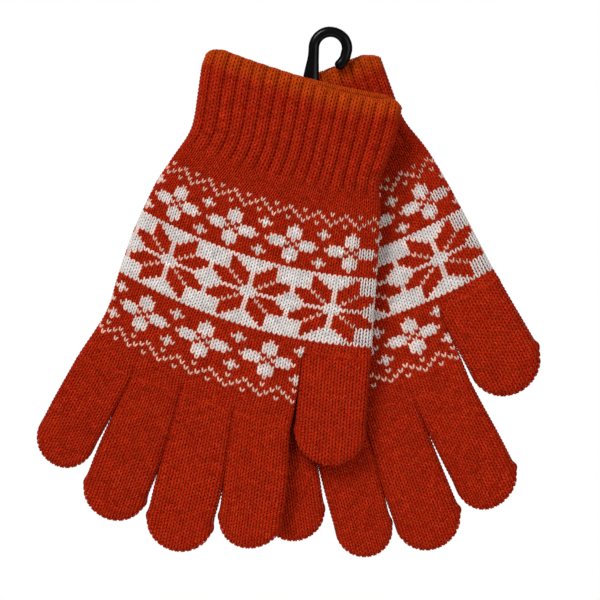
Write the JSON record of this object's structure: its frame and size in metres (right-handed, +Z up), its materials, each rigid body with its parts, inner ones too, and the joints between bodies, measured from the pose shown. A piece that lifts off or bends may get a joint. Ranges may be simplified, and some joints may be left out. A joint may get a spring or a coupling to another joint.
{
  "type": "pair of knitted gloves",
  "caption": "Pair of stretchy five-fingered Fair Isle gloves with ribbed cuffs, fanned out and pinned to a black plastic hanging hook",
  "frame": {"origin": "the seat of the hook, the inner top of its crook, where it rests on a rail", "axes": "X across the gloves, Y through them from the front glove to the back glove, Z up"},
  "size_m": [0.2104, 0.0246, 0.2232],
  "materials": {
    "knit": "stocking-stitch jersey in deep orange-red yarn with a warm white colourwork pattern, ribbed at the cuff",
    "hook plastic": "smooth moulded black",
    "pin plastic": "plain natural nylon"
  },
  "bodies": {
    "hook": {"hanger_hook": "hook plastic", "tag_pin": "pin plastic"},
    "front cuff": {"front_cuff": "knit"},
    "front hand": {"front_hand": "knit"},
    "front little finger": {"front_little_finger": "knit"},
    "front ring finger": {"front_ring_finger": "knit"},
    "front middle finger": {"front_middle_finger": "knit"},
    "front index finger": {"front_index_finger": "knit"},
    "front thumb": {"front_thumb": "knit"},
    "back cuff": {"back_cuff": "knit"},
    "back hand": {"back_hand": "knit"},
    "back little finger": {"back_little_finger": "knit"},
    "back ring finger": {"back_ring_finger": "knit"},
    "back middle finger": {"back_middle_finger": "knit"},
    "back index finger": {"back_index_finger": "knit"},
    "back thumb": {"back_thumb": "knit"}
  },
  "joints": [
    {"name": "front glove swings on the tag pin", "type": "hinge", "parent": "hook", "child": "front cuff", "pos_m": [-0.0078, -0.0074, -0.0266], "axis": [0, 1, 0], "range_deg": [-34, 20]},
    {"name": "front wrist fold", "type": "hinge", "parent": "front cuff", "child": "front hand", "pos_m": [-0.02279, -0.0056, -0.06378], "axis": [-0.9703, 0, 0.2419], "range_deg": [0, 90]},
    {"name": "front little finger fold", "type": "hinge", "parent": "front hand", "child": "front little finger", "pos_m": [-0.09625, -0.0047, -0.14289], "axis": [-0.9455, 0, 0.3256], "range_deg": [0, 90]},
    {"name": "front ring finger fold", "type": "hinge", "parent": "front hand", "child": "front ring finger", "pos_m": [-0.07465, -0.0047, -0.15033], "axis": [-0.9455, 0, 0.3256], "range_deg": [0, 90]},
    {"name": "front middle finger fold", "type": "hinge", "parent": "front hand", "child": "front middle finger", "pos_m": [-0.05316, -0.0047, -0.15773], "axis": [-0.9455, 0, 0.3256], "range_deg": [0, 90]},
    {"name": "front index finger fold", "type": "hinge", "parent": "front hand", "child": "front index finger", "pos_m": [-0.03023, -0.0047, -0.16562], "axis": [-0.9455, 0, 0.3256], "range_deg": [0, 90]},
    {"name": "front thumb fold", "type": "hinge", "parent": "front hand", "child": "front thumb", "pos_m": [0.00214, -0.0047, -0.13776], "axis": [-0.9968, 0, 0.0802], "range_deg": [0, 90]},
    {"name": "back glove swings on the tag pin", "type": "hinge", "parent": "hook", "child": "back cuff", "pos_m": [-0.0078, 0.0074, -0.0266], "axis": [0, 1, 0], "range_deg": [-16, 40]},
    {"name": "back wrist fold", "type": "hinge", "parent": "back cuff", "child": "back hand", "pos_m": [-0.00175, 0.0056, -0.06392], "axis": [0.9426, 0, 0.3338], "range_deg": [0, 90]},
    {"name": "back little finger fold", "type": "hinge", "parent": "back hand", "child": "back little finger", "pos_m": [-0.01933, 0.0047, -0.17044], "axis": [0.9681, 0, 0.2504], "range_deg": [0, 90]},
    {"name": "back ring finger fold", "type": "hinge", "parent": "back hand", "child": "back ring finger", "pos_m": [0.00278, 0.0047, -0.16472], "axis": [0.9681, 0, 0.2504], "range_deg": [0, 90]},
    {"name": "back middle finger fold", "type": "hinge", "parent": "back hand", "child": "back middle finger", "pos_m": [0.02479, 0.0047, -0.15902], "axis": [0.9681, 0, 0.2504], "range_deg": [0, 90]},
    {"name": "back index finger fold", "type": "hinge", "parent": "back hand", "child": "back index finger", "pos_m": [0.04826, 0.0047, -0.15295], "axis": [0.9681, 0, 0.2504], "range_deg": [0, 90]},
    {"name": "back thumb fold", "type": "hinge", "parent": "back hand", "child": "back thumb", "pos_m": [0.05983, 0.0047, -0.11188], "axis": [0.8829, 0, 0.4695], "range_deg": [0, 90]}
  ]
}
